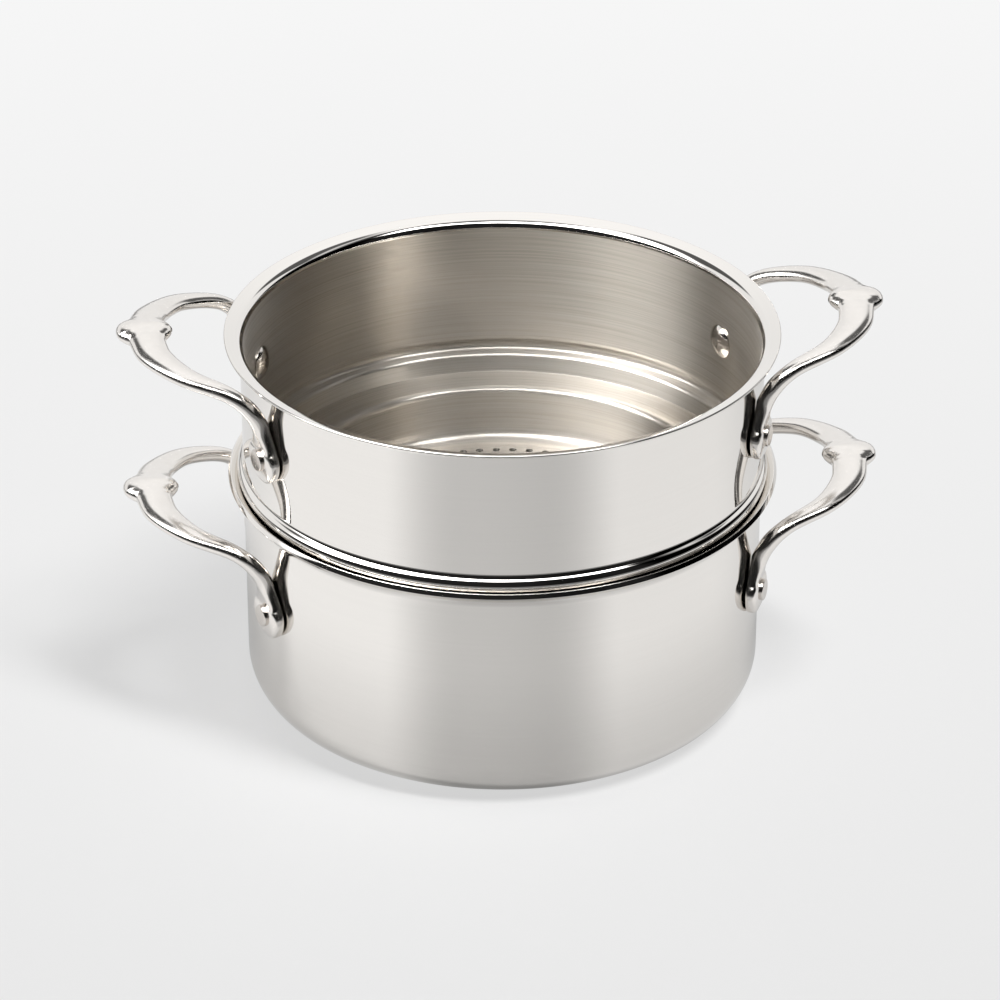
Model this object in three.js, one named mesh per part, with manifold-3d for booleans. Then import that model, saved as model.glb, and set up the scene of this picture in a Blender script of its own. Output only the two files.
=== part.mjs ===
// Steamer pot: a clad steel pot, and a stepped, perforated steamer insert seated in its flared rim.
// Each of the two carries a pair of cast loop handles, and two rivets hold each handle to the wall.
// Millimetres, +Z up. The origin is the centre of the pot's flat base, with the handles along X.
import * as THREE from "three";
import { mergeGeometries, mergeVertices } from "three/addons/utils/BufferGeometryUtils.js";
import Module from "manifold-3d";

const wasm = await Module();
wasm.setup();

// Clearance between pieces that touch
const fitGap = 0.3;

// Pot
const potRadius = 108;
const potWall = 2.3;
const potWallHeight = 97;
const potCornerRadius = 18;
const potFlareLength = 6.9;
const potFlareBend = 8;

// Both rims lean out by the same angle from the wall
const rimFlareAngle = 60;

// Steamer insert: its upper wall lines up with the pot's, and its bead rests in the pot's rim.
// Below the bead the sheet falls inwards to a drafted step, a sloping ledge and the floor.
const insertSheet = 1.3;
const insertWallHeight = 57.4;
const insertLipLength = 7.4;
const insertLipBend = 3.4;
const beadReach = 2.3;
const beadRadius = 4.2;
const beadFlankAngle = 42.5;
const beadFilletBend = 3.5;
const seatCrestBend = 2.5;
const stepDraft = 22;
const basketClearance = 1.9;
const upperStepDepth = 11.1;
const stepFootBend = 0.9;
const ledgeWidth = 13.9;
const ledgeFall = 1.5;
const ledgeEdgeBend = 2.8;
const lowerStepDepth = 24.2;
const floorBend = 8.4;

// Steam holes, on rings that get closer to the centre in even steps
const holeDiameter = 3.2;
const holePitch = 7.2;
const holeRings = 4;
const holeMargin = 5.2;

// Rivets: a domed head inside the wall and a flat button outside the handle's foot
const rivetAngle = 23.5;
const rivetShankDiameter = 6.4;
const rivetHeadDiameter = 14.6;
const rivetHeadHeight = 3;
const rivetButtonDiameter = 9.2;
const rivetButtonHeight = 2.2;
const rivetButtonChamfer = 0.6;
const spotFaceMargin = 0.5;

// Handles: height of the rivets below each rim, then the casting itself.
// A squareness of 2 gives a section an elliptic outline, and more squares it off.
const potRivetDrop = 37.4;
const insertRivetDrop = 28.6;
const handleReach = 38.6;
const handleRise = 38.6;
const footWidth = 21;
const footDrop = 11.5;
const footTop = 8.5;
const footThickness = 4.4;
const footCrown = 0.5;
const footEdge = 1.5;
const footSquareness = 4;
const neckWidth = 6.6;
const neckThickness = 5.4;
const armWidth = 14.6;
const armThickness = 7.6;
const armSquareness = 2.4;
const knuckleWidth = 23;
const knuckleThickness = 8.4;
const knuckleLength = 15;
const knuckleBow = 1;

// Facets
const wallFacets = 36;
const bendTolerance = 0.2;
const holeFacets = 6;
const rivetFacets = 10;
const sectionFacets = 10;
const armSpanRings = 2;

const radians = THREE.MathUtils.degToRad;
const facetInset = Math.cos(Math.PI / wallFacets);
const weldShare = 1e-6;
const weldDistance = potRadius * weldShare;

// A unit vector at an angle from the outward radial direction of a profile
function heading(angle) {
  return new THREE.Vector2(Math.cos(angle), Math.sin(angle));
}

// The corners of a sheet's middle line, each with its bend radius, as a line with round bends
function bentLine(corners) {
  const line = [corners[0].at];
  for (let i = 1; i < corners.length - 1; i++) {
    const { at, bend } = corners[i];
    const before = at.clone().sub(corners[i - 1].at).normalize();
    const after = corners[i + 1].at.clone().sub(at).normalize();
    const turn = Math.atan2(before.cross(after), before.dot(after));
    const start = at.clone().addScaledVector(before, -bend * Math.tan(Math.abs(turn) / 2));
    const side = new THREE.Vector2(-before.y, before.x).multiplyScalar(Math.sign(turn) * bend);
    const centre = start.clone().add(side);
    const stepAngle = 2 * Math.acos(1 - bendTolerance / bend);
    const steps = Math.max(1, Math.round(Math.abs(turn) / stepAngle));
    for (let k = 0; k <= steps; k++) {
      line.push(start.clone().rotateAround(centre, (turn * k) / steps));
    }
  }
  line.push(corners[corners.length - 1].at);
  return line.filter((point, i) => i === 0 || point.distanceTo(line[i - 1]) > weldDistance);
}

// The closed outline of a sheet of even thickness about its middle line, with a round free edge
function sheetOutline(line, thickness) {
  const half = thickness / 2;
  const last = line.length - 1;
  const outer = [];
  const inner = [];
  line.forEach((point, i) => {
    const before = line[Math.max(i, 1)].clone().sub(line[Math.max(i - 1, 0)]).normalize();
    const after = line[Math.min(i + 1, last)].clone().sub(line[Math.min(i, last - 1)]).normalize();
    const along = before.clone().add(after).normalize();
    const miter = half / along.dot(after);
    const outward = new THREE.Vector2(along.y, -along.x).multiplyScalar(miter);
    outer.push(point.clone().add(outward));
    inner.unshift(point.clone().sub(outward));
  });
  const edge = line[last].clone().sub(line[last - 1]).setLength(half);
  const middle = new THREE.Vector2();
  const rounding = [-45, 0, 45].map((angle) => {
    return edge.clone().rotateAround(middle, radians(angle)).add(line[last]);
  });
  return [...outer.slice(0, last), ...rounding, ...inner.slice(1)];
}

// A profile of radii and heights turned about the Z axis
function revolve(profile, facets) {
  return new THREE.LatheGeometry(profile, facets).rotateX(Math.PI / 2);
}

function solidOf(geometry) {
  const bare = geometry.clone();
  bare.deleteAttribute("normal");
  bare.deleteAttribute("uv");
  const welded = mergeVertices(bare, weldDistance);
  const vertProperties = welded.getAttribute("position").array;
  const triVerts = new Uint32Array(welded.index.array);
  return new wasm.Manifold(new wasm.Mesh({ numProp: 3, vertProperties, triVerts }));
}

function geometryOf(solid) {
  const mesh = solid.getMesh();
  const geometry = new THREE.BufferGeometry();
  geometry.setAttribute("position", new THREE.BufferAttribute(mesh.vertProperties, 3));
  geometry.setIndex(new THREE.BufferAttribute(mesh.triVerts, 1));
  const flat = geometry.toNonIndexed();
  flat.computeVertexNormals();
  return flat;
}

// A round bar along a radial line of the pot, between two distances from the axis
function radialBar(radius, from, to, angle, height, facets) {
  const bar = new THREE.CylinderGeometry(radius, radius, to - from, facets);
  bar.rotateZ(-Math.PI / 2);
  bar.translate((from + to) / 2, 0, 0);
  bar.rotateZ(radians(angle));
  bar.translate(0, 0, height);
  return bar;
}

const rivetAngles = [-rivetAngle, rivetAngle];
const shankRadius = rivetShankDiameter / 2;
const shankHoleRadius = shankRadius + fitGap;

// The four holes that the shanks pass through, on both sides of a shell
function rivetDrills(height) {
  const inside = potRadius / 2;
  const outside = potRadius * 2;
  const angles = [0, 180].flatMap((side) => rivetAngles.map((angle) => side + angle));
  const bars = angles.map((angle) => radialBar(shankHoleRadius, inside, outside, angle, height, rivetFacets));
  return solidOf(mergeGeometries(bars));
}

// Pot: middle line from the centre of the floor to the rim
const potMiddle = potRadius - potWall / 2;
const flare = heading(radians(90 - rimFlareAngle));
const flareCorner = new THREE.Vector2(potMiddle, potWallHeight);
const potRivetHeight = potWallHeight - potRivetDrop;

function potBody() {
  const line = bentLine([
    { at: new THREE.Vector2(0, potWall / 2) },
    { at: new THREE.Vector2(potMiddle, potWall / 2), bend: potCornerRadius - potWall / 2 },
    { at: flareCorner, bend: potFlareBend },
    { at: flareCorner.clone().addScaledVector(flare, potFlareLength) },
  ]);
  const shell = solidOf(revolve(sheetOutline(line, potWall), wallFacets));
  return geometryOf(shell.subtract(rivetDrills(potRivetHeight)));
}

// Insert: its bead rests on the round where the pot's wall turns out into the flare
const flareRound = potFlareBend + potWall / 2;
const flareRoundDrop = potFlareBend * Math.tan(radians(rimFlareAngle) / 2);
const flareRoundCentre = new THREE.Vector2(potMiddle + potFlareBend, potWallHeight - flareRoundDrop);
const beadBend = beadRadius - insertSheet / 2;
const beadCentreRadius = potRadius + beadReach - beadRadius;
const seatDistance = flareRound + fitGap + beadRadius;
const seatRun = flareRoundCentre.x - beadCentreRadius;
const beadCentreHeight = flareRoundCentre.y + Math.sqrt(seatDistance ** 2 - seatRun ** 2);
const beadCentre = new THREE.Vector2(beadCentreRadius, beadCentreHeight);
const insertMiddle = potRadius - insertSheet / 2;
const basketMiddle = potRadius - potWall - basketClearance - insertSheet / 2;
const ledgeInner = basketMiddle - ledgeWidth;
const ledgeHeight = beadCentreHeight - upperStepDepth;
const insertFloorHeight = ledgeHeight - ledgeFall - lowerStepDepth;
const lipCorner = new THREE.Vector2(insertMiddle, beadCentreHeight + insertWallHeight);
const insertRivetHeight = lipCorner.y - insertRivetDrop;

// Where a line through a point crosses another line
function crossing(point, along, otherPoint, otherAlong) {
  const between = otherPoint.clone().sub(point);
  return point.clone().addScaledVector(along, between.cross(otherAlong) / along.cross(otherAlong));
}

// The bead runs from a lower flank that follows the pot's flare to an upper flank that meets the wall.
// The bend where they meet is no larger than the flank has room for.
function insertLine() {
  const lower = radians(-rimFlareAngle);
  const upper = radians(90 - beadFlankAngle);
  const beadPoint = (angle, distance) => heading(angle).multiplyScalar(distance).add(beadCentre);
  const beadCorner = beadPoint((lower + upper) / 2, beadBend / Math.cos((upper - lower) / 2));
  const stepFoot = new THREE.Vector2(basketMiddle, ledgeHeight);
  const crest = crossing(stepFoot, heading(radians(90 - stepDraft)), beadPoint(lower, beadBend), flare);
  const upperTouch = beadPoint(upper, beadBend);
  const wallFoot = crossing(lipCorner, heading(radians(90)), upperTouch, heading(upper + radians(90)));
  const filletRoom = wallFoot.distanceTo(upperTouch) / Math.tan(upper / 2);
  return bentLine([
    { at: new THREE.Vector2(0, insertFloorHeight) },
    { at: new THREE.Vector2(ledgeInner, insertFloorHeight), bend: floorBend },
    { at: new THREE.Vector2(ledgeInner, ledgeHeight - ledgeFall), bend: ledgeEdgeBend },
    { at: stepFoot, bend: stepFootBend },
    { at: crest, bend: seatCrestBend },
    { at: beadCorner, bend: beadBend },
    { at: wallFoot, bend: Math.min(beadFilletBend, filletRoom) },
    { at: lipCorner, bend: insertLipBend },
    { at: lipCorner.clone().addScaledVector(flare, insertLipLength) },
  ]);
}

// Rings of holes through the floor, evenly pitched, from the bend of the floor inwards
function steamHoles() {
  const outerRing = ledgeInner - floorBend - holeMargin;
  const holeRadius = holeDiameter / 2;
  const holes = [];
  for (let ring = 1; ring <= holeRings; ring++) {
    const radius = (outerRing * ring) / holeRings;
    const count = Math.round((2 * Math.PI * radius) / holePitch);
    for (let k = 0; k < count; k++) {
      const hole = new THREE.CylinderGeometry(holeRadius, holeRadius, insertSheet * 3, holeFacets);
      hole.rotateX(Math.PI / 2);
      hole.translate(radius, 0, insertFloorHeight);
      hole.rotateZ((2 * Math.PI * k) / count);
      holes.push(hole);
    }
  }
  return solidOf(mergeGeometries(holes));
}

function steamerInsert() {
  const sheet = solidOf(revolve(sheetOutline(insertLine(), insertSheet), wallFacets));
  return geometryOf(sheet.subtract(steamHoles()).subtract(rivetDrills(insertRivetHeight)));
}

// Handle: half a loop as control sections, from the tip of a foot to the middle of the knuckle.
// The spine is measured from the pot's axis, at the height of the rivets.
const footRadius = potRadius + fitGap + footEdge;
const footHalfThickness = footThickness + footCrown - footEdge;
const halfSpan = potRadius * Math.sin(radians(rivetAngle));
const wallAtRivet = potRadius * Math.cos(radians(rivetAngle));
const reachFromFoot = potRadius + handleReach - wallAtRivet;

// A section on the wall, at an angle round the foot's rounded outline: 90 is its tip, 0 its widest place
function footSection(angle) {
  const side = radians(rivetAngle);
  const rise = -Math.sin(radians(angle)) * (angle > 0 ? footDrop : footTop);
  return {
    at: new THREE.Vector3(footRadius * Math.cos(side), footRadius * Math.sin(side), rise),
    width: footWidth * Math.cos(radians(angle)),
    thickness: 2 * footHalfThickness,
    squareness: footSquareness,
    rings: 1,
  };
}

// A section of the free loop: shares of the reach from the foot, of half the span and of the rise,
// and how far it has grown from the neck's width and thickness to the arm's
function armSection(outShare, sideShare, riseShare, widthShare, thicknessShare) {
  return {
    at: new THREE.Vector3(
      wallAtRivet + outShare * reachFromFoot,
      sideShare * halfSpan,
      riseShare * handleRise,
    ),
    width: THREE.MathUtils.lerp(neckWidth, armWidth, widthShare),
    thickness: THREE.MathUtils.lerp(neckThickness, armThickness, thicknessShare),
    squareness: armSquareness,
    rings: armSpanRings,
  };
}

// A section of the knuckle: its distance from the middle as a share of half its length,
// and how far it has grown from the arm's width and thickness to the knuckle's
function knuckleSection(alongShare, growth) {
  const thickness = THREE.MathUtils.lerp(armThickness, knuckleThickness, growth);
  const bow = knuckleBow * alongShare;
  return {
    at: new THREE.Vector3(
      potRadius + handleReach - bow,
      (alongShare * knuckleLength) / 2,
      handleRise - bow - (thickness - armThickness) / 2,
    ),
    width: THREE.MathUtils.lerp(armWidth, knuckleWidth, growth),
    thickness,
    squareness: armSquareness,
    rings: 1,
  };
}

function halfHandle() {
  return [
    ...[75, 40, 0, -40].map(footSection),
    armSection(0.05, 1.03, 0.38, 0, 0),
    armSection(0.155, 1.04, 0.59, 0.02, 0),
    armSection(0.31, 1.01, 0.74, 0.1, 0.05),
    armSection(0.68, 0.81, 0.87, 0.5, 0.4),
    armSection(0.92, 0.45, 0.93, 0.9, 0.8),
    knuckleSection(1.3, 0),
    knuckleSection(1, 0.1),
    knuckleSection(0.8, 0.4),
    knuckleSection(0.47, 0.81),
    knuckleSection(0, 1),
  ];
}

// A share of a section's half width or thickness, squared off towards its corners
function squared(share, squareness) {
  return Math.sign(share) * Math.abs(share) ** (2 / squareness);
}

// The rings of a handle's surface: an outline square to the spine at each step, its width level
function handleRings() {
  const half = halfHandle();
  const mirrored = half.slice(0, -1).reverse().map((section) => ({
    ...section,
    at: section.at.clone().multiply(new THREE.Vector3(1, -1, 1)),
  }));
  const sections = [...half, ...mirrored];
  const spine = new THREE.CatmullRomCurve3(sections.map((section) => section.at));
  const sizes = new THREE.CatmullRomCurve3(
    sections.map((section) => new THREE.Vector3(section.width, section.thickness, section.squareness)),
  );
  const spans = sections.length - 1;
  const shares = sections.slice(1).flatMap((section, span) => {
    const steps = Math.min(section.rings, sections[span].rings);
    return Array.from({ length: steps }, (_, k) => (span + (k + 1) / steps) / spans);
  });
  const rings = [];
  for (const t of [0, ...shares]) {
    const centre = spine.getPoint(t);
    const along = spine.getTangent(t);
    const size = sizes.getPoint(t);
    const fromMiddle = 2 * t - 1;
    const outward = new THREE.Vector3(centre.x, centre.y, 0).normalize();
    const course = new THREE.Vector3(along.x, along.y, 0);
    course.addScaledVector(outward, -fromMiddle * Math.abs(along.z));
    const across = new THREE.Vector3(-course.y, course.x, 0).normalize();
    const up = new THREE.Vector3().crossVectors(along, across).normalize();
    const ring = [];
    for (let k = 0; k < sectionFacets; k++) {
      const angle = (2 * Math.PI * k) / sectionFacets;
      const point = centre.clone();
      point.addScaledVector(across, (squared(Math.cos(angle), size.z) * size.x) / 2);
      point.addScaledVector(up, (squared(Math.sin(angle), size.z) * size.y) / 2);
      ring.push(point);
    }
    rings.push(ring);
  }
  return rings;
}

// A closed skin over rings of equal count, with a fan over each end
function loft(rings) {
  const count = rings[0].length;
  const last = rings.length - 1;
  const points = rings.flat();
  for (const ring of [rings[0], rings[last]]) {
    const sum = ring.reduce((total, point) => total.add(point), new THREE.Vector3());
    points.push(sum.divideScalar(count));
  }
  const startCentre = points.length - 2;
  const endCentre = points.length - 1;
  const index = [];
  for (let k = 0; k < count; k++) {
    const next = (k + 1) % count;
    for (let i = 0; i < last; i++) {
      const here = i * count;
      const beyond = here + count;
      index.push(here + k, here + next, beyond + next);
      index.push(here + k, beyond + next, beyond + k);
    }
    index.push(startCentre, next, k);
    index.push(endCentre, last * count + k, last * count + next);
  }
  const geometry = new THREE.BufferGeometry().setFromPoints(points);
  geometry.setIndex(index);
  return geometry;
}

// The casting: its feet are cut to the wall, faced flat under the buttons and drilled for the shanks
const footSeat = potRadius + fitGap + footThickness;

function handle() {
  const tall = 4 * (handleRise + footDrop);
  const wallRadius = potRadius + fitGap / facetInset;
  const wall = new THREE.CylinderGeometry(wallRadius, wallRadius, tall, wallFacets);
  wall.rotateX(Math.PI / 2);
  const faceRadius = rivetButtonDiameter / 2 + spotFaceMargin;
  const outside = footSeat + 4 * footThickness;
  const cuts = rivetAngles.flatMap((angle) => [
    radialBar(shankHoleRadius, potRadius / 2, outside, angle, 0, rivetFacets),
    radialBar(faceRadius, footSeat, outside, angle, 0, rivetFacets),
  ]);
  const casting = solidOf(loft(handleRings())).subtract(solidOf(wall));
  return geometryOf(cuts.reduce((cut, bar) => cut.subtract(solidOf(bar)), casting));
}

// Rivet along Z, measured from the pot's axis: dome, shank through the wall and the foot, button
function rivet(wallThickness) {
  const headSeat = (potRadius - wallThickness) * facetInset - fitGap;
  const headRadius = rivetHeadDiameter / 2;
  const dome = [0, 30, 60, 90].map((angle) => {
    const top = heading(radians(90 - angle));
    return new THREE.Vector2(headRadius * top.x, headSeat - rivetHeadHeight * top.y);
  });
  const buttonSeat = footSeat + fitGap;
  const buttonTop = buttonSeat + rivetButtonHeight;
  const buttonRadius = rivetButtonDiameter / 2;
  const profile = [
    ...dome,
    new THREE.Vector2(shankRadius, headSeat),
    new THREE.Vector2(shankRadius, buttonSeat),
    new THREE.Vector2(buttonRadius, buttonSeat),
    new THREE.Vector2(buttonRadius, buttonTop - rivetButtonChamfer),
    new THREE.Vector2(buttonRadius - rivetButtonChamfer, buttonTop),
    new THREE.Vector2(0, buttonTop),
  ];
  return revolve(profile, rivetFacets).rotateY(Math.PI / 2);
}

// Assembly
const castSteel = { color: 0xd8d3cd, roughness: 0.12, metalness: 1 };
const satinSteel = { color: 0xcfcac6, roughness: 0.3, metalness: 1 };
const rivetSteel = { color: 0xc9c4be, roughness: 0.16, metalness: 1 };

function named(name, geometry, finish) {
  const mesh = new THREE.Mesh(geometry, new THREE.MeshStandardMaterial(finish));
  mesh.name = name;
  return mesh;
}

const steamerPot = new THREE.Group();
const handleShape = handle();

// A shell with its two handles and their rivets
function addVessel(name, shellName, shell, wallThickness, rivetHeight) {
  const vessel = new THREE.Group();
  vessel.add(named(shellName, shell, satinSteel));
  const rivetShape = rivet(wallThickness);
  for (const [side, turn] of [["right", 0], ["left", 180]]) {
    const fittings = new THREE.Group();
    fittings.position.z = rivetHeight;
    fittings.rotation.z = radians(turn);
    fittings.add(named(`${name}_handle_${side}`, handleShape, castSteel));
    rivetAngles.forEach((angle, k) => {
      const end = (k === 0) === (side === "right") ? "front" : "back";
      const piece = named(`${name}_rivet_${side}_${end}`, rivetShape, rivetSteel);
      piece.rotation.z = radians(angle);
      fittings.add(piece);
    });
    vessel.add(fittings);
  }
  steamerPot.add(vessel);
}

addVessel("pot", "pot_body", potBody(), potWall, potRivetHeight);
addVessel("insert", "steamer_insert", steamerInsert(), insertSheet, insertRivetHeight);

export default steamerPot;
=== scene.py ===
"""Looks of a steamer pot: a polished clad pot and a stepped, perforated insert seated in its rim.

Both are spun sheet, each with two polished cast loop handles held by rivets. Sizes are in metres.
"""
import math
from collections import namedtuple

import bmesh
import bpy
from mathutils import Matrix, Vector


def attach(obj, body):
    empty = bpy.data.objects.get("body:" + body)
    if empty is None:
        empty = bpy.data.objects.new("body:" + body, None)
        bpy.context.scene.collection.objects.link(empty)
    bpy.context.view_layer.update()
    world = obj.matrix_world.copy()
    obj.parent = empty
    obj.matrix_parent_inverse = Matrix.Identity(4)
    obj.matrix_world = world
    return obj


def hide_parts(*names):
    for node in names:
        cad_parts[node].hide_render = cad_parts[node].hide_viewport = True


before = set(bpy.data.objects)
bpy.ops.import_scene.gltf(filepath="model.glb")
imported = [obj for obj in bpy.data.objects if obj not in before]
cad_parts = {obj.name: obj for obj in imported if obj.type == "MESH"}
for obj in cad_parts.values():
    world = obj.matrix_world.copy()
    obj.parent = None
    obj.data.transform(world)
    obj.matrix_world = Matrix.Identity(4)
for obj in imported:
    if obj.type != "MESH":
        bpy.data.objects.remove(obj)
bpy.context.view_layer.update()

MM = 0.001
UP = Vector((0, 0, 1))
QUARTER = math.pi / 2

# Pot shell
POT_RADIUS = 108 * MM
POT_WALL = 2.3 * MM
POT_WALL_HEIGHT = 97 * MM
POT_CORNER_RADIUS = 18 * MM
POT_FLARE_LENGTH = 6.9 * MM
POT_FLARE_BEND = 8 * MM
POT_EDGE_ROUND = 0.25 * MM
RIM_FLARE_ANGLE = math.radians(60)

# Insert shell
INSERT_SHEET = 1.3 * MM
INSERT_WALL_HEIGHT = 58.6 * MM
INSERT_LIP_LENGTH = 6.7 * MM
INSERT_LIP_BEND = 3.4 * MM
INSERT_LIP_ANGLE = math.radians(72)
INSERT_EDGE_ROUND = 0.64 * MM
BEAD_REACH = 2.3 * MM
BEAD_RADIUS = 4.2 * MM
BEAD_FLANK_ANGLE = math.radians(42.5)
BEAD_FILLET_BEND = 3.5 * MM
SEAT_CREST_BEND = 2.5 * MM
SEAT_GAP = 0.3 * MM
STEP_DRAFT = math.radians(22)
BASKET_CLEARANCE = 1.9 * MM
UPPER_STEP_DEPTH = 11.1 * MM
STEP_FOOT_BEND = 0.9 * MM
LEDGE_WIDTH = 13.9 * MM
LEDGE_FALL = 1.5 * MM
LEDGE_EDGE_BEND = 2.8 * MM
LOWER_STEP_DEPTH = 24.2 * MM
FLOOR_BEND = 8.4 * MM

# Steam holes
HOLE_DIAMETER = 3.2 * MM
HOLE_PITCH = 7.2 * MM
HOLE_RINGS = 4
HOLE_MARGIN = 3.7 * MM
PUNCH_LENGTH = 3 * INSERT_SHEET

# Rivets
RIVET_ANGLE = math.radians(23.5)
RIVET_HEAD_DIAMETER = 14.6 * MM
RIVET_HEAD_HEIGHT = 3 * MM
RIVET_HEAD_LAND = 4.2 * MM
RIVET_HEAD_CROWN = 8.4 * MM
RIVET_HEAD_EDGE = 0.6 * MM
RIVET_HEAD_EDGE_ROUND = 0.3 * MM
RIVET_SHANK_DIAMETER = 6.4 * MM
RIVET_BUTTON_DIAMETER = 9.2 * MM
RIVET_BUTTON_HEIGHT = 1.4 * MM
RIVET_BUTTON_ROUND = 0.6 * MM

# Handles. A squareness of 2 gives a section an elliptic outline, and more squares it off.
POT_RIVET_DROP = 37.4 * MM
INSERT_RIVET_DROP = 29.8 * MM
HANDLE_REACH = 38.6 * MM
HANDLE_RISE = 38.4 * MM
HANDLE_GAP = 0.3 * MM
FOOT_WIDTH = 21 * MM
FOOT_DROP = 10.4 * MM
FOOT_TOP = 8.5 * MM
FOOT_THICKNESS = 4.4 * MM
FOOT_CROWN = 0.5 * MM
FOOT_EDGE = 1.5 * MM
FOOT_SQUARENESS = 4.5
FOOT_TIP_EASE = 0.6
FOOT_ANGLES = (88, 80, 70, 55, 40, 20, 0, -20, -38)
NECK_WIDTH = 6.6 * MM
NECK_THICKNESS = 5.4 * MM
ARM_WIDTH = 14.6 * MM
ARM_THICKNESS = 7.6 * MM
ARM_SQUARENESS = 2.05
KNUCKLE_WIDTH = 23 * MM
KNUCKLE_THICKNESS = 8.4 * MM
KNUCKLE_LENGTH = 15 * MM
KNUCKLE_BOW = 1 * MM

# Fineness of the meshes
TURN_STEPS = 320
BEND_STEP = math.radians(6)
LEAST_BEND_STEPS = 3
HOLE_STEPS = 20
RIVET_STEPS = 48
SPAN_RINGS = 6
HANDLE_RING_STEPS = 40
SLOPE_STEP_RINGS = 0.25

# Limits that sort edges, faces and points
CREASE_ANGLE = math.radians(40)
FLOOR_FACING = 0.5
LEAST_FACING = 0.1
AXIS_SLACK = 1e-7
WELD_DISTANCE = 1e-6

# Camera, fitted to the rims, the base and the handles in the photograph
CAMERA_TURN = math.radians(-6)
CAMERA_RISE = math.radians(28.35)
CAMERA_DISTANCE = 1.8
CAMERA_TARGET_HEIGHT = 83.3 * MM
CAMERA_TARGET_ASIDE = -0.99 * MM
LENS_SHARE = 4.29
SENSOR = 36.0

# Studio. FRONT points to where the photographer stands, and LEFT to the left of the picture.
FRONT = Matrix.Rotation(CAMERA_TURN, 3, "Z") @ Vector((0, -1, 0))
LEFT = FRONT.cross(UP)
KEY_SIDE = Vector((0.75, -0.66, 0))
KEY_RISES = [math.radians(rise) for rise in (58, 64, 70, 76)]
KEY_SPREAD = math.radians(12)
KEY_STRENGTH = 0.9
FLOOR_SIZE = 12.0
PAPER = "#7c7c7c"
PAPER_NEAR, PAPER_NEAR_GLOW = 0.24, 0.6
PAPER_FAR, PAPER_FAR_GLOW = -0.76, 0.71
BACKDROP_GLOW = 0.92
ROOM_DARK = 0.002
ROOM_EDGE_TILT = UP - FRONT * 0.7 + LEFT * 0.15
# The painted reflection on the paper fills a disc whose middle lies behind the pot, and its sides are told
# from a point just in front of the axis
PAINTED_REFLECTION_REACH = 0.765
PAINTED_REFLECTION_CENTRE = FRONT * -0.35
MIRROR_FOCUS = FRONT * POT_RADIUS / 2

# A fade is a smooth change: where it starts and ends, and the factors there
Fade = namedtuple("Fade", "start end first last")

# Painted reflection: how bright steel sees the paper's glow, by how far a place lies to the front and to the
# left
PAINTED_REFLECTION_FRONT = Fade(0.6, 0.96, 0.8, 0.42)
PAINTED_REFLECTION_BACK = Fade(-0.9, -0.1, 0.7, 1)
PAINTED_REFLECTION_RIGHT = Fade(-0.6, 0.3, 0.88, 1)
# Painted shade by the distance from the axis, darker beside the pot; and the end of the painted reflection,
# by the distance from the middle of its disc
PAINTED_SHADE_BESIDE_POT = Fade(POT_RADIUS, 0.22, 0.62, 1)
PAINTED_REFLECTION_EDGE = Fade(PAINTED_REFLECTION_REACH, PAINTED_REFLECTION_REACH * 1.04, 1, ROOM_DARK)

# What steel mirrors of the soft boxes in front, from the right end at -1 to the left end at 1
BOX_RIGHT_END = Fade(-0.94, -0.86, 0.03, 7.6)
BOX_RIGHT_DIP = Fade(-0.75, -0.62, 1, 0.65)
BOX_MIDDLE_RISE = Fade(-0.45, -0.1, 1, 1.8)
BOX_LEFT_RISE = Fade(0.45, 0.8, 1, 1.2)
# By height, from level at 0 to overhead at 1
BOX_TOP = Fade(0.88, 0.93, 1, 0.03)
CEILING_RISE = Fade(0.3, 0.9, 0.95, 1.14)
CORNER_FOOT = Fade(0.4, 0.5, 0, 1)
CORNER_TOP = Fade(0.85, 0.95, 1, 0)
# From the back at -1 to the front at 1
FRONT_HALF = Fade(-0.2, 0.2, 0, 1)
CORNER_BACK = Fade(-0.88, -0.75, 0, 1)
CORNER_FRONT = Fade(-0.3, 0, 1, 0)
# Across the tilted edge of the unlit room, and into the dark corners
ROOM_EDGE = Fade(0.35, 0.46, ROOM_DARK, 1.02)
CORNER_SHADE = Fade(0, 1, 1, 0.1)

# Places that follow from the sizes above. The bead rests on the round where the pot's wall turns out.
POT_MIDDLE = POT_RADIUS - POT_WALL / 2
FLARE = Vector((math.sin(RIM_FLARE_ANGLE), math.cos(RIM_FLARE_ANGLE)))
FLARE_DROP = POT_FLARE_BEND * math.tan(RIM_FLARE_ANGLE / 2)
FLARE_CENTRE = Vector((POT_MIDDLE + POT_FLARE_BEND, POT_WALL_HEIGHT - FLARE_DROP))
SEAT_DISTANCE = POT_FLARE_BEND + POT_WALL / 2 + SEAT_GAP + BEAD_RADIUS
BEAD_ACROSS = POT_RADIUS + BEAD_REACH - BEAD_RADIUS
BEAD_RISE = math.sqrt(SEAT_DISTANCE**2 - (FLARE_CENTRE.x - BEAD_ACROSS) ** 2)
BEAD_CENTRE = Vector((BEAD_ACROSS, FLARE_CENTRE.y + BEAD_RISE))
INSERT_MIDDLE = POT_RADIUS - INSERT_SHEET / 2
BASKET_MIDDLE = POT_RADIUS - POT_WALL - BASKET_CLEARANCE - INSERT_SHEET / 2
LEDGE_INNER = BASKET_MIDDLE - LEDGE_WIDTH
LEDGE_HEIGHT = BEAD_CENTRE.y - UPPER_STEP_DEPTH
INSERT_FLOOR_HEIGHT = LEDGE_HEIGHT - LEDGE_FALL - LOWER_STEP_DEPTH
LIP_HEIGHT = BEAD_CENTRE.y + INSERT_WALL_HEIGHT
POT_RIVET_HEIGHT = POT_WALL_HEIGHT - POT_RIVET_DROP
INSERT_RIVET_HEIGHT = LIP_HEIGHT - INSERT_RIVET_DROP


def linear(code):
    """An sRGB hex colour as the linear colour that a shader takes."""
    shares = [int(code[i : i + 2], 16) / 255 for i in (1, 3, 5)]
    return [s / 12.92 if s <= 0.04045 else ((s + 0.055) / 1.055) ** 2.4 for s in shares] + [1]


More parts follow.
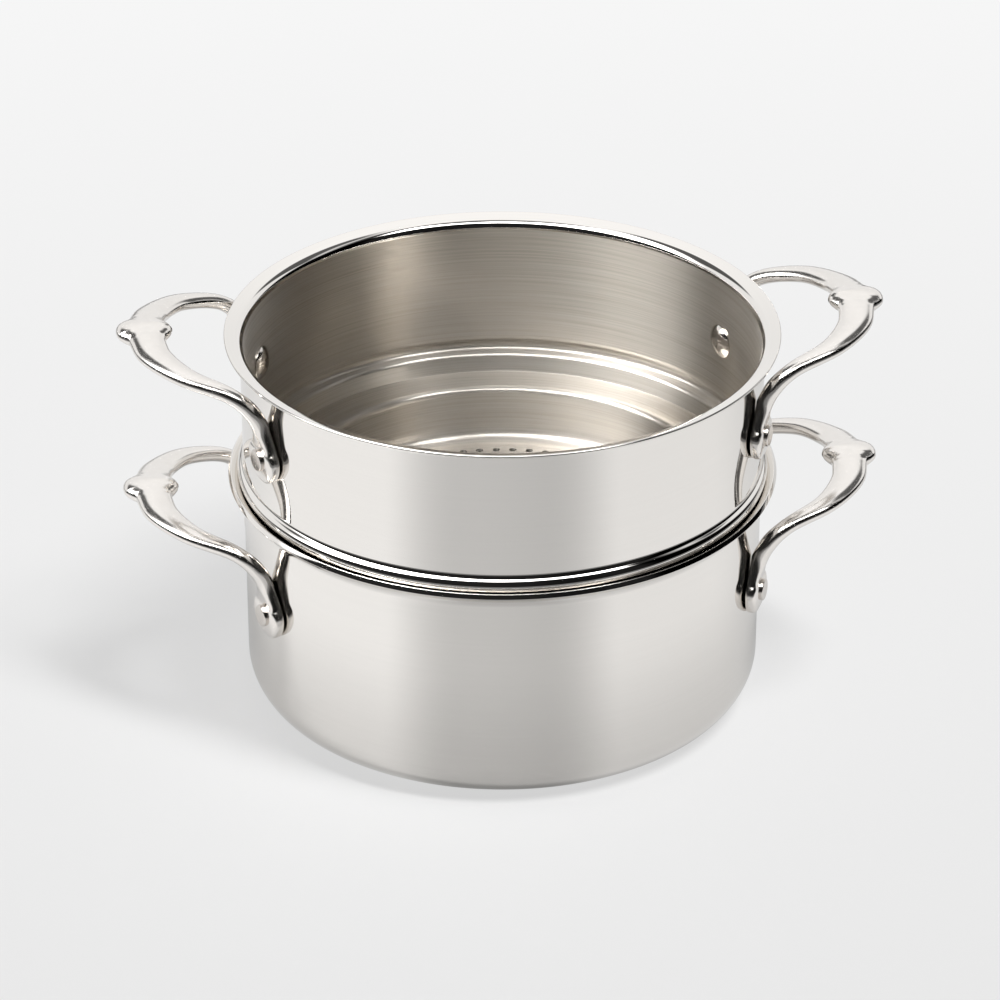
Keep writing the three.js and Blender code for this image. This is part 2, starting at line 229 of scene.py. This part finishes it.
def add(tree, kind, settings=None, **inputs):
    """Adds a node. An input is a value, or the output socket that feeds it.

    An underscore in an input's name stands for a space, and i with a number is the input of that number.
    """
    node = tree.nodes.new(kind)
    for key, value in (settings or {}).items():
        setattr(node, key, value)
    for key, value in inputs.items():
        name = key.replace("_", " ")
        socket = node.inputs[int(name[1:]) if name[0] == "i" and name[1:].isdigit() else name]
        if isinstance(value, bpy.types.NodeSocket):
            tree.links.new(value, socket)
        else:
            socket.default_value = value
    return node


def new_material(name):
    material = bpy.data.materials.new(name)
    material.use_nodes = True
    material.node_tree.nodes.clear()
    return material, material.node_tree


def around_axis(tree, pitch, length):
    """Noise in long marks that run round the vertical axis: pitch across them, length along them."""
    place = add(tree, "ShaderNodeTexCoord").outputs["Object"]
    axes = add(tree, "ShaderNodeSeparateXYZ", Vector=place).outputs
    flat = add(tree, "ShaderNodeCombineXYZ", X=axes["X"], Y=axes["Y"]).outputs[0]
    radius = add(tree, "ShaderNodeVectorMath", {"operation": "LENGTH"}, i0=flat).outputs["Value"]
    heading = add(tree, "ShaderNodeVectorMath", {"operation": "NORMALIZE"}, i0=flat).outputs[0]
    run = POT_RADIUS / length
    turned = add(tree, "ShaderNodeVectorMath", {"operation": "SCALE"}, i0=heading, Scale=run).outputs[0]
    sides = add(tree, "ShaderNodeSeparateXYZ", Vector=turned).outputs
    across = add(tree, "ShaderNodeMath", {"operation": "MULTIPLY"}, i0=radius, i1=1 / pitch).outputs[0]
    height = add(tree, "ShaderNodeMath", {"operation": "MULTIPLY"}, i0=axes["Z"], i1=1 / pitch).outputs[0]
    where = add(tree, "ShaderNodeCombineXYZ", X=across, Y=height, Z=sides["X"]).outputs[0]
    return add(
        tree,
        "ShaderNodeTexNoise",
        {"noise_dimensions": "4D"},
        Vector=where,
        W=sides["Y"],
        Scale=1,
        Detail=3,
        Roughness=0.6,
    ).outputs["Fac"]


def bright_metal(tree, marks, shades, smoothest, roughest, bump):
    """A metal whose marks vary its colour and its roughness together."""
    dark, light = [linear(code) for code in shades]
    colour = add(tree, "ShaderNodeMix", {"data_type": "RGBA"}, Factor=marks, i6=dark, i7=light).outputs[2]
    gloss = add(tree, "ShaderNodeMapRange", Value=marks, To_Min=smoothest, To_Max=roughest).outputs[0]
    return add(
        tree,
        "ShaderNodeBsdfPrincipled",
        Base_Color=colour,
        Metallic=1,
        Roughness=gloss,
        Normal=bump,
    )


def polished_steel():
    """Stainless sheet, buffed bright: a clear reflection with a faint drag from the buffing wheel."""
    material, tree = new_material("buffed_stainless_sheet")
    # Real buffing marks are about 0.1 mm apart. They are drawn nine times as coarse, to show from here.
    drag = around_axis(tree, 0.9 * MM, 60 * MM)
    bump = add(tree, "ShaderNodeBump", Height=drag, Strength=0.005, Distance=0.1 * MM).outputs[0]
    shader = bright_metal(tree, drag, ("#e7e4e0", "#ebe8e4"), 0.03, 0.06, bump)
    add(tree, "ShaderNodeOutputMaterial", Surface=shader.outputs[0])
    return material


def brushed_steel():
    """Stainless sheet brushed round the axis: smooth lands between fine grooves.

    The grooves smear each reflection into an upright streak.
    """
    material, tree = new_material("circular_brushed_stainless_sheet")
    # Real brush lines are about 0.1 mm apart. They are drawn six times as coarse, to show from here.
    lines = around_axis(tree, 0.6 * MM, 70 * MM)
    dark, light = linear("#aea79e"), linear("#e0dbd3")
    colour = add(tree, "ShaderNodeMix", {"data_type": "RGBA"}, Factor=lines, i6=dark, i7=light).outputs[2]
    bump = add(tree, "ShaderNodeBump", Height=lines, Strength=0.2, Distance=0.1 * MM).outputs[0]
    round_axis = add(tree, "ShaderNodeTangent", {"direction_type": "RADIAL", "axis": "Z"}).outputs[0]
    metal = {"Base_Color": colour, "Metallic": 1, "Normal": bump}
    grain = {"Tangent": round_axis, "Anisotropic_Rotation": 0.25}
    lands = add(tree, "ShaderNodeBsdfPrincipled", Roughness=0.2, Anisotropic=0.7, **metal, **grain)
    grooves = add(tree, "ShaderNodeBsdfPrincipled", Roughness=0.55, Anisotropic=1, **metal, **grain)
    share = add(tree, "ShaderNodeMapRange", Value=lines, To_Min=0.9, To_Max=0.2).outputs[0]
    shader = add(tree, "ShaderNodeMixShader", i0=share, i1=lands.outputs[0], i2=grooves.outputs[0])
    add(tree, "ShaderNodeOutputMaterial", Surface=shader.outputs[0])
    return material


def cast_steel():
    """Cast stainless, hand polished: a mirror with the slow ripple that a buffing wheel leaves."""
    material, tree = new_material("polished_cast_stainless")
    place = add(tree, "ShaderNodeTexCoord").outputs["Object"]
    ripple = add(tree, "ShaderNodeTexNoise", Vector=place, Scale=1 / (14 * MM), Detail=1).outputs["Fac"]
    haze = add(tree, "ShaderNodeTexNoise", Vector=place, Scale=1 / (2.5 * MM), Detail=3).outputs["Fac"]
    bump = add(tree, "ShaderNodeBump", Height=ripple, Strength=0.08, Distance=0.5 * MM).outputs[0]
    shader = bright_metal(tree, haze, ("#e4e0db", "#ece8e4"), 0.14, 0.2, bump)
    add(tree, "ShaderNodeOutputMaterial", Surface=shader.outputs[0])
    return material


def rivet_steel():
    """Cold-headed stainless rivet, tumbled bright: a soft mirror with faint scuffs."""
    material, tree = new_material("tumbled_stainless_rivet")
    place = add(tree, "ShaderNodeTexCoord").outputs["Object"]
    scuffs = add(tree, "ShaderNodeTexNoise", Vector=place, Scale=1 / (0.8 * MM), Detail=4).outputs["Fac"]
    bump = add(tree, "ShaderNodeBump", Height=scuffs, Strength=0.03, Distance=0.1 * MM).outputs[0]
    shader = bright_metal(tree, scuffs, ("#d0cac4", "#dfdad4"), 0.1, 0.2, bump)
    add(tree, "ShaderNodeOutputMaterial", Surface=shader.outputs[0])
    return material


def round_corner(bm, corner, reach, turn):
    """Rounds one corner of a flat section; reach is how far the round runs along each side."""
    steps = max(LEAST_BEND_STEPS, math.ceil(turn / BEND_STEP))
    bmesh.ops.bevel(
        bm,
        geom=[corner],
        offset=reach,
        offset_type="OFFSET",
        segments=steps,
        profile=0.5,
        affect="VERTICES",
        clamp_overlap=False,
        material=-1,
    )


def flat_section(corners):
    """A bmesh with one flat face in the XZ plane. Each corner is its place and the bend that rounds it."""
    bm = bmesh.new()
    verts = [bm.verts.new((place.x, 0, place.y)) for place, bend in corners]
    bm.faces.new(verts)
    for i, (place, bend) in enumerate(corners):
        before = place - corners[i - 1][0]
        after = corners[(i + 1) % len(corners)][0] - place
        turn = before.angle(after)
        if bend > 0:
            round_corner(bm, verts[i], bend * math.tan(turn / 2), turn)
    return bm


def sheet_section(line, thickness, edge_round):
    """Corners of a bent sheet's section, from the axis along its underside to its free edge and back.

    The line is the sheet's middle: each corner is its place and its bend radius.
    """
    under, over = [], []
    half = thickness / 2
    last = len(line) - 1
    for i, (place, bend) in enumerate(line):
        before = (place - line[i - 1][0]).normalized() if i else None
        after = (line[i + 1][0] - place).normalized() if i < last else before
        before = before or after
        along = (before + after).normalized()
        aside = Vector((along.y, -along.x)) * half / along.dot(after)
        if i == last:
            place = place + along * half
        opens = half if before.cross(after) > 0 else -half
        under.append((place + aside, bend + opens if bend else 0))
        over.append((place - aside, bend - opens if bend else 0))
    under[last] = (under[last][0], edge_round)
    over[last] = (over[last][0], edge_round)
    return under + over[::-1]


def spin_section(bm, steps):
    """Turns a flat section about the Z axis into a closed solid. The section's own face goes."""
    rim = [e for e in bm.edges if max(abs(v.co.x) for v in e.verts) > AXIS_SLACK]
    bmesh.ops.spin(
        bm,
        geom=rim,
        cent=(0, 0, 0),
        axis=UP,
        dvec=(0, 0, 0),
        angle=math.tau,
        steps=steps,
        use_merge=True,
        use_normal_flip=False,
        use_duplicate=False,
    )
    flat = [f for f in bm.faces if len(f.verts) > 4]
    bmesh.ops.delete(bm, geom=flat, context="FACES_ONLY")
    bmesh.ops.remove_doubles(bm, verts=bm.verts, dist=WELD_DISTANCE)
    loose = [e for e in bm.edges if not e.link_faces]
    bmesh.ops.delete(bm, geom=loose, context="EDGES")
    bmesh.ops.recalc_face_normals(bm, faces=bm.faces)


def make_piece(name, bm, materials, body, node):
    """Finishes a bmesh as a piece that stands for a CAD node and moves with its body."""
    for face in bm.faces:
        face.smooth = True
    for edge in bm.edges:
        edge.smooth = edge.calc_face_angle(0) < CREASE_ANGLE
    mesh = bpy.data.meshes.new(name)
    bm.to_mesh(mesh)
    bm.free()
    for material in materials:
        mesh.materials.append(material)
    piece = bpy.data.objects.new(name, mesh)
    bpy.context.scene.collection.objects.link(piece)
    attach(piece, body)
    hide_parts(node)


def polar(angle, distance):
    return Vector((math.cos(angle), math.sin(angle))) * distance


def crossing(point, along, other_point, other_along):
    """Where a line through a point crosses another line."""
    between = other_point - point
    return point + along * (between.cross(other_along) / along.cross(other_along))


def pot_line():
    """Middle of the pot's wall, from the axis over the rounded base corner to the flared rim."""
    corner = Vector((POT_MIDDLE, POT_WALL_HEIGHT))
    return [
        (Vector((0, POT_WALL / 2)), 0),
        (Vector((POT_MIDDLE, POT_WALL / 2)), POT_CORNER_RADIUS - POT_WALL / 2),
        (corner, POT_FLARE_BEND),
        (corner + FLARE * POT_FLARE_LENGTH, 0),
    ]


def insert_line():
    """Middle of the insert's sheet, from the axis over the floor, the ledge and the bead to the lip.

    The bead runs from a lower flank that follows the pot's flare to an upper one that meets the wall.
    """
    lower = -RIM_FLARE_ANGLE
    upper = QUARTER - BEAD_FLANK_ANGLE
    bead_bend = BEAD_RADIUS - INSERT_SHEET / 2
    bead_corner = BEAD_CENTRE + polar((lower + upper) / 2, bead_bend / math.cos((upper - lower) / 2))
    lower_touch = BEAD_CENTRE + polar(lower, bead_bend)
    upper_touch = BEAD_CENTRE + polar(upper, bead_bend)
    step_foot = Vector((BASKET_MIDDLE, LEDGE_HEIGHT))
    lip_corner = Vector((INSERT_MIDDLE, LIP_HEIGHT))
    return [
        (Vector((0, INSERT_FLOOR_HEIGHT)), 0),
        (Vector((LEDGE_INNER, INSERT_FLOOR_HEIGHT)), FLOOR_BEND),
        (Vector((LEDGE_INNER, LEDGE_HEIGHT - LEDGE_FALL)), LEDGE_EDGE_BEND),
        (step_foot, STEP_FOOT_BEND),
        (crossing(step_foot, polar(QUARTER - STEP_DRAFT, 1), lower_touch, FLARE), SEAT_CREST_BEND),
        (bead_corner, bead_bend),
        (crossing(lip_corner, polar(QUARTER, 1), upper_touch, polar(upper + QUARTER, 1)), BEAD_FILLET_BEND),
        (lip_corner, INSERT_LIP_BEND),
        (lip_corner + polar(QUARTER - INSERT_LIP_ANGLE, INSERT_LIP_LENGTH), 0),
    ]


def cut_holes(bm):
    """Punches the rings of steam holes through the floor of the insert."""
    outer_ring = LEDGE_INNER - FLOOR_BEND - HOLE_MARGIN
    punches = bmesh.new()
    for ring in range(1, HOLE_RINGS + 1):
        radius = outer_ring * ring / HOLE_RINGS
        count = round(math.tau * radius / HOLE_PITCH)
        for k in range(count):
            turn = Matrix.Rotation(math.tau * k / count, 4, "Z")
            bmesh.ops.create_cone(
                punches,
                cap_ends=True,
                segments=HOLE_STEPS,
                radius1=HOLE_DIAMETER / 2,
                radius2=HOLE_DIAMETER / 2,
                depth=PUNCH_LENGTH,
                matrix=turn @ Matrix.Translation((radius, 0, INSERT_FLOOR_HEIGHT)),
            )
    tools = []
    for name, made in (("sheet", bm), ("punches", punches)):
        mesh = bpy.data.meshes.new(name)
        made.to_mesh(mesh)
        made.free()
        tool = bpy.data.objects.new(name, mesh)
        bpy.context.scene.collection.objects.link(tool)
        tools.append(tool)
    sheet, punch = tools
    cut = sheet.modifiers.new("steam_holes", "BOOLEAN")
    cut.operation = "DIFFERENCE"
    cut.solver = "EXACT"
    cut.object = punch
    graph = bpy.context.evaluated_depsgraph_get()
    pierced = bmesh.new()
    pierced.from_mesh(sheet.evaluated_get(graph).to_mesh())
    for tool in tools:
        mesh = tool.data
        bpy.data.objects.remove(tool)
        bpy.data.meshes.remove(mesh)
    return pierced


def sort_finishes(bm, brushed_top, floor_reach):
    """Gives the second material to the faces inside a shell, up to a height.

    They face the axis, or they face up and lie within the floor's reach of it.
    """
    for face in bm.faces:
        middle = face.calc_center_median()
        faces_axis = face.normal.xy.dot(middle.xy) < 0
        is_floor = face.normal.z > FLOOR_FACING and middle.xy.length < floor_reach
        face.material_index = int(middle.z < brushed_top and (faces_axis or is_floor))


def make_pot(finishes):
    bm = flat_section(sheet_section(pot_line(), POT_WALL, POT_EDGE_ROUND))
    spin_section(bm, TURN_STEPS)
    sort_finishes(bm, POT_WALL_HEIGHT - POT_FLARE_BEND, POT_MIDDLE)
    make_piece("pot_shell", bm, finishes, "pot", "pot_body")


def make_insert(finishes):
    bm = flat_section(sheet_section(insert_line(), INSERT_SHEET, INSERT_EDGE_ROUND))
    spin_section(bm, TURN_STEPS)
    bm = cut_holes(bm)
    sort_finishes(bm, LIP_HEIGHT - INSERT_LIP_BEND, BASKET_MIDDLE)
    make_piece("insert_shell", bm, finishes, "insert", "steamer_insert")


def mix(first, second, share):
    return first + (second - first) * share


def foot_section(angle):
    """A section on the wall, at an angle round the foot's outline: 90 is its tip, 0 its widest place."""
    turn = math.radians(angle)
    radius = POT_RADIUS + HANDLE_GAP + FOOT_EDGE
    rise = -math.sin(turn) * (FOOT_DROP if angle > 0 else FOOT_TOP)
    place = Vector((radius * math.cos(RIVET_ANGLE), radius * math.sin(RIVET_ANGLE), rise))
    face = (FOOT_THICKNESS + FOOT_CROWN - FOOT_EDGE) * math.cos(turn) ** FOOT_TIP_EASE
    return place, Vector((FOOT_WIDTH * math.cos(turn), FOOT_EDGE, face, FOOT_SQUARENESS))


def arm_section(out, side, rise, width, thickness):
    """A section of the free loop: shares of the reach from the foot, of half the span and of the rise.

    The last two say how far it has grown from the neck's width and thickness to the arm's.
    """
    wall = POT_RADIUS * math.cos(RIVET_ANGLE)
    half_span = POT_RADIUS * math.sin(RIVET_ANGLE)
    reach = POT_RADIUS + HANDLE_REACH - wall
    place = Vector((wall + out * reach, side * half_span, rise * HANDLE_RISE))
    half = mix(NECK_THICKNESS, ARM_THICKNESS, thickness) / 2
    return place, Vector((mix(NECK_WIDTH, ARM_WIDTH, width), half, half, ARM_SQUARENESS))


def knuckle_section(along, growth):
    """A section of the knuckle, at a share of half its length from its middle.

    Growth says how far it has grown from the arm's width and thickness to the knuckle's.
    """
    half = mix(ARM_THICKNESS, KNUCKLE_THICKNESS, growth) / 2
    bow = KNUCKLE_BOW * along
    height = HANDLE_RISE - bow - (half - ARM_THICKNESS / 2)
    place = Vector((POT_RADIUS + HANDLE_REACH - bow, along * KNUCKLE_LENGTH / 2, height))
    return place, Vector((mix(ARM_WIDTH, KNUCKLE_WIDTH, growth), half, half, ARM_SQUARENESS))


def half_handle():
    """Sections from the tip of a foot to the middle of the knuckle.

    A section is its centre and its size: width, depth towards the wall, depth away from it, squareness.
    """
    return [foot_section(angle) for angle in FOOT_ANGLES] + [
        arm_section(out=0.07, side=1.03, rise=0.37, width=0.35, thickness=0.7),
        arm_section(out=0.15, side=1.04, rise=0.57, width=0.15, thickness=0.7),
        arm_section(out=0.31, side=1.01, rise=0.74, width=0.12, thickness=0.3),
        arm_section(out=0.68, side=0.81, rise=0.87, width=0.5, thickness=0.4),
        arm_section(out=0.92, side=0.45, rise=0.93, width=0.9, thickness=0.8),
        knuckle_section(along=1.3, growth=0),
        knuckle_section(along=1, growth=0.1),
        knuckle_section(along=0.8, growth=0.4),
        knuckle_section(along=0.47, growth=0.81),
        knuckle_section(along=0, growth=1),
    ]


def cubic(b, c, leave, arrive, t):
    """A point of the cubic curve from b to c that leaves and arrives at the given speeds."""
    bend = (b - c) * 2 + leave + arrive
    rise = (c - b) * 3 - leave * 2 - arrive
    return b + leave * t + rise * t**2 + bend * t**3


def spline(points, share):
    """A point of a centripetal Catmull-Rom curve through points, at a share of its length in spans."""
    spans = len(points) - 1
    at = min(max(share, 0.0), 1.0) * spans
    i = min(int(at), spans - 1)
    b, c = points[i], points[i + 1]
    a = points[i - 1] if i > 0 else b * 2 - c
    d = points[i + 2] if i + 2 <= spans else c * 2 - b
    first, middle, final = [math.sqrt((q - p).length) for p, q in ((a, b), (b, c), (c, d))]
    leave = ((b - a) / first - (c - a) / (first + middle) + (c - b) / middle) * middle
    arrive = ((c - b) / middle - (d - b) / (middle + final) + (d - c) / final) * middle
    return cubic(b, c, leave, arrive, at - i)


def smooth_size(sizes, share):
    """A section's size between the given ones. No value leaves the range of the nearest two."""
    spans = len(sizes) - 1
    i = min(int(share * spans), spans - 1)
    b, c = sizes[i], sizes[i + 1]
    leave = (c - sizes[max(i - 1, 0)]) / 2
    arrive = (sizes[min(i + 2, spans)] - b) / 2
    free = cubic(b, c, leave, arrive, share * spans - i)
    return [min(max(value, min(pair)), max(pair)) for value, *pair in zip(free, b, c)]


def squared(share, squareness):
    return math.copysign(abs(share) ** (2 / squareness), share)


def shape_ring(ring, spine, share, step, size):
    """Moves a circle's vertices to a section of the loop, whose inner side stays clear of the wall.

    The inner side faces the wall at the feet, and up on the arm.
    """
    width, depth_in, depth_out, squareness = size
    centre = spline(spine, share)
    along = (spline(spine, share + step) - spline(spine, share - step)).normalized()
    outward = Vector((centre.x, centre.y, 0)).normalized()
    # Seen from above, the loop runs outward from its first foot and back in to its second.
    course = Vector((along.x, along.y, 0)) - outward * (2 * share - 1) * abs(along.z)
    across = Vector((-course.y, course.x, 0)).normalized()
    inward = along.cross(across).normalized()
    room = centre.xy.length - POT_RADIUS - HANDLE_GAP
    depth_in = min(depth_in, room / max(-inward.dot(outward), LEAST_FACING))
    for v in ring:
        side = squared(v.co.x, squareness) * width / 2
        lift = squared(v.co.y, squareness)
        hug = max(lift, 0) * side**2 / (2 * POT_RADIUS)
        depth = lift * (depth_in if lift > 0 else depth_out) + hug
        v.co = centre + across * side + inward * depth


def handle_form():
    """One casting on the +X side, its rivets level with the origin."""
    half = half_handle()
    flip = Vector((1, -1, 1))
    sections = half + [(place * flip, size) for place, size in half[-2::-1]]
    spine = [place for place, size in sections]
    sizes = [size for place, size in sections]
    ring_count = SPAN_RINGS * (len(sections) - 1)
    bm = bmesh.new()
    before = None
    for i in range(ring_count + 1):
        share = i / ring_count
        is_end = i in (0, ring_count)
        ring = bmesh.ops.create_circle(bm, cap_ends=is_end, radius=1, segments=HANDLE_RING_STEPS)["verts"]
        shape_ring(ring, spine, share, SLOPE_STEP_RINGS / ring_count, smooth_size(sizes, share))
        edges = list({e for v in ring for e in v.link_edges})
        if before:
            bmesh.ops.bridge_loops(bm, edges=before + edges)
        before = edges
    bmesh.ops.recalc_face_normals(bm, faces=bm.faces)
    return bm


def rivet_form(wall):
    """A rivet along +X through a wall: crowned head inside, shank, flat button on the foot outside."""
    seat = POT_RADIUS - wall
    head = RIVET_HEAD_DIAMETER / 2
    shank = RIVET_SHANK_DIAMETER / 2
    button = RIVET_BUTTON_DIAMETER / 2
    button_seat = POT_RADIUS + HANDLE_GAP + FOOT_THICKNESS
    button_top = button_seat + HANDLE_GAP + RIVET_BUTTON_HEIGHT
    corners = [
        (Vector((0, seat - RIVET_HEAD_HEIGHT)), 0),
        (Vector((RIVET_HEAD_LAND, seat - RIVET_HEAD_HEIGHT)), RIVET_HEAD_CROWN),
        (Vector((head, seat - RIVET_HEAD_EDGE)), RIVET_HEAD_EDGE_ROUND),
        (Vector((head, seat)), 0),
        (Vector((shank, seat)), 0),
        (Vector((shank, button_seat)), 0),
        (Vector((button, button_seat)), 0),
        (Vector((button, button_top)), RIVET_BUTTON_ROUND),
        (Vector((0, button_top)), 0),
    ]
    bm = flat_section(corners)
    spin_section(bm, RIVET_STEPS)
    bm.transform(Matrix.Rotation(QUARTER, 4, "Y"))
    return bm


def make_fittings(body, wall, height, cast, rivet):
    """The two handles of a shell and their rivets."""
    raised = Matrix.Translation((0, 0, height))
    for side, turn in (("right", 0), ("left", math.pi)):
        turned = raised @ Matrix.Rotation(turn, 4, "Z")
        bm = handle_form()
        bm.transform(turned)
        node = f"{body}_handle_{side}"
        make_piece(f"{body}_loop_{side}", bm, [cast], body, node)
        for angle in (-RIVET_ANGLE, RIVET_ANGLE):
            bm = rivet_form(wall)
            bm.transform(turned @ Matrix.Rotation(angle, 4, "Z"))
            end = "front" if (angle < 0) == (side == "right") else "back"
            node = f"{body}_rivet_{side}_{end}"
            make_piece(f"{body}_stud_{side}_{end}", bm, [rivet], body, node)


def make_camera():
    data = bpy.data.cameras.new("camera")
    data.sensor_width = SENSOR
    data.lens = LENS_SHARE * SENSOR
    camera = bpy.data.objects.new("camera", data)
    bpy.context.scene.collection.objects.link(camera)
    turn = Matrix.Rotation(CAMERA_TURN, 3, "Z")
    back = turn @ Vector((0, -math.cos(CAMERA_RISE), math.sin(CAMERA_RISE)))
    target = turn @ Vector((CAMERA_TARGET_ASIDE, 0, CAMERA_TARGET_HEIGHT))
    camera.location = target + back * CAMERA_DISTANCE
    camera.rotation_euler = (-back).to_track_quat("-Z", "Y").to_euler()
    bpy.context.scene.camera = camera


def graded(tree, glow, *changes):
    """A glow multiplied by smooth changes, each given as the socket that it follows and its fade."""
    for value, fade in changes:
        factor = add(
            tree,
            "ShaderNodeMapRange",
            {"interpolation_type": "SMOOTHSTEP"},
            Value=value,
            From_Min=fade.start,
            From_Max=fade.end,
            To_Min=fade.first,
            To_Max=fade.last,
        ).outputs[0]
        glow = add(tree, "ShaderNodeMath", {"operation": "MULTIPLY"}, i0=glow, i1=factor).outputs[0]
    return glow


def seen_and_mirrored(tree, seen, mirrored):
    """One glow for the camera and another for polished steel. Neither lights a matt surface."""
    path = add(tree, "ShaderNodeLightPath").outputs
    direct, glossy = [
        add(tree, "ShaderNodeMath", {"operation": "MULTIPLY"}, i0=path[ray], i1=glow).outputs[0]
        for ray, glow in (("Is Camera Ray", seen), ("Is Glossy Ray", mirrored))
    ]
    return add(tree, "ShaderNodeMath", {"operation": "ADD"}, i0=direct, i1=glossy).outputs[0]


def paper_with_painted_reflection():
    """Matt white paper that keeps the shadow and glows as a pale backdrop for the camera. For steel it glows
    with a painted reflection: bright at the sides, dim in front, with painted shade beside the pot.
    """
    material, tree = new_material("white_paper_sweep_with_painted_reflection")
    place = add(tree, "ShaderNodeTexCoord").outputs["Object"]
    ahead = add(tree, "ShaderNodeVectorMath", {"operation": "DOT_PRODUCT"}, i0=place, i1=FRONT)
    paper = add(
        tree,
        "ShaderNodeMapRange",
        Value=ahead.outputs["Value"],
        From_Min=PAPER_NEAR,
        From_Max=PAPER_FAR,
        To_Min=PAPER_NEAR_GLOW,
        To_Max=PAPER_FAR_GLOW,
    ).outputs[0]
    spread = add(tree, "ShaderNodeVectorMath", {"operation": "SUBTRACT"}, i0=place, i1=MIRROR_FOCUS)
    heading = add(tree, "ShaderNodeVectorMath", {"operation": "NORMALIZE"}, i0=spread.outputs[0]).outputs[0]
    facing, leftward = [
        add(tree, "ShaderNodeVectorMath", {"operation": "DOT_PRODUCT"}, i0=heading, i1=side).outputs["Value"]
        for side in (FRONT, LEFT)
    ]
    from_axis = add(tree, "ShaderNodeVectorMath", {"operation": "LENGTH"}, i0=place)
    from_middle = add(tree, "ShaderNodeVectorMath", {"operation": "DISTANCE"}, i0=place, i1=PAINTED_REFLECTION_CENTRE)
    # Painted reflection that only steel sees: dim in front, behind and to the right, with painted shade
    # beside the pot, and dark past the edge of its disc
    mirrored = graded(
        tree,
        1,
        (facing, PAINTED_REFLECTION_FRONT),
        (facing, PAINTED_REFLECTION_BACK),
        (leftward, PAINTED_REFLECTION_RIGHT),
        (from_axis.outputs["Value"], PAINTED_SHADE_BESIDE_POT),
        (from_middle.outputs["Value"], PAINTED_REFLECTION_EDGE),
    )
    lit = add(tree, "ShaderNodeBsdfDiffuse", Color=linear(PAPER))
    glowing = add(tree, "ShaderNodeEmission", Strength=seen_and_mirrored(tree, paper, mirrored))
    shader = add(tree, "ShaderNodeAddShader", i0=lit.outputs[0], i1=glowing.outputs[0])
    add(tree, "ShaderNodeOutputMaterial", Surface=shader.outputs[0])
    return material


def make_floor():
    bm = bmesh.new()
    bmesh.ops.create_grid(bm, x_segments=1, y_segments=1, size=FLOOR_SIZE / 2)
    mesh = bpy.data.meshes.new("floor")
    bm.to_mesh(mesh)
    bm.free()
    mesh.materials.append(paper_with_painted_reflection())
    floor = bpy.data.objects.new("floor", mesh)
    bpy.context.scene.collection.objects.link(floor)


def make_key():
    """A tall strip of soft light at the front right: its shadow has a clear side and a soft end."""
    for rise in KEY_RISES:
        data = bpy.data.lights.new("key", "SUN")
        data.angle = KEY_SPREAD
        data.energy = KEY_STRENGTH
        lamp = bpy.data.objects.new("key", data)
        bpy.context.scene.collection.objects.link(lamp)
        heading = KEY_SIDE * math.cos(rise) + UP * math.sin(rise)
        lamp.rotation_euler = heading.to_track_quat("Z", "Y").to_euler()
        lamp.visible_glossy = False


def make_world():
    """A pale backdrop. Steel sees a bright ceiling, soft boxes high in front, and the unlit room below.

    The room behind has a dark corner on either side, which draws the edges of the handles.
    """
    world = bpy.data.worlds.new("studio")
    world.use_nodes = True
    tree = world.node_tree
    tree.nodes.clear()
    heading = add(tree, "ShaderNodeTexCoord").outputs["Generated"]
    height = add(tree, "ShaderNodeSeparateXYZ", Vector=heading).outputs["Z"]
    flat = add(tree, "ShaderNodeVectorMath", {"operation": "MULTIPLY"}, i0=heading, i1=(1, 1, 0))
    level = add(tree, "ShaderNodeVectorMath", {"operation": "NORMALIZE"}, i0=flat.outputs[0]).outputs[0]
    lift, ahead, aside = [
        add(tree, "ShaderNodeVectorMath", {"operation": "DOT_PRODUCT"}, i0=way, i1=side).outputs["Value"]
        for way, side in ((heading, ROOM_EDGE_TILT), (level, FRONT), (level, LEFT))
    ]
    boxes = graded(
        tree,
        1,
        (aside, BOX_RIGHT_END),
        (aside, BOX_RIGHT_DIP),
        (aside, BOX_MIDDLE_RISE),
        (aside, BOX_LEFT_RISE),
        (height, BOX_TOP),
    )
    in_front = graded(tree, 1, (ahead, FRONT_HALF))
    boxes = add(tree, "ShaderNodeMix", Factor=in_front, A=1, B=boxes).outputs[0]
    corner = graded(
        tree,
        1,
        (ahead, CORNER_BACK),
        (ahead, CORNER_FRONT),
        (height, CORNER_FOOT),
        (height, CORNER_TOP),
    )
    room = graded(tree, boxes, (lift, ROOM_EDGE), (height, CEILING_RISE), (corner, CORNER_SHADE))
    strength = seen_and_mirrored(tree, BACKDROP_GLOW, room)
    shade = add(tree, "ShaderNodeBackground", Color=(1, 1, 1, 1), Strength=strength)
    add(tree, "ShaderNodeOutputWorld", Surface=shade.outputs[0])
    bpy.context.scene.world = world


make_camera()
sheet_finishes = [polished_steel(), brushed_steel()]
cast, rivet = cast_steel(), rivet_steel()
make_pot(sheet_finishes)
make_insert(sheet_finishes)
make_fittings("pot", POT_WALL, POT_RIVET_HEIGHT, cast, rivet)
make_fittings("insert", INSERT_SHEET, INSERT_RIVET_HEIGHT, cast, rivet)
make_floor()
make_world()
make_key()
bpy.context.scene.view_settings.view_transform = "Standard"
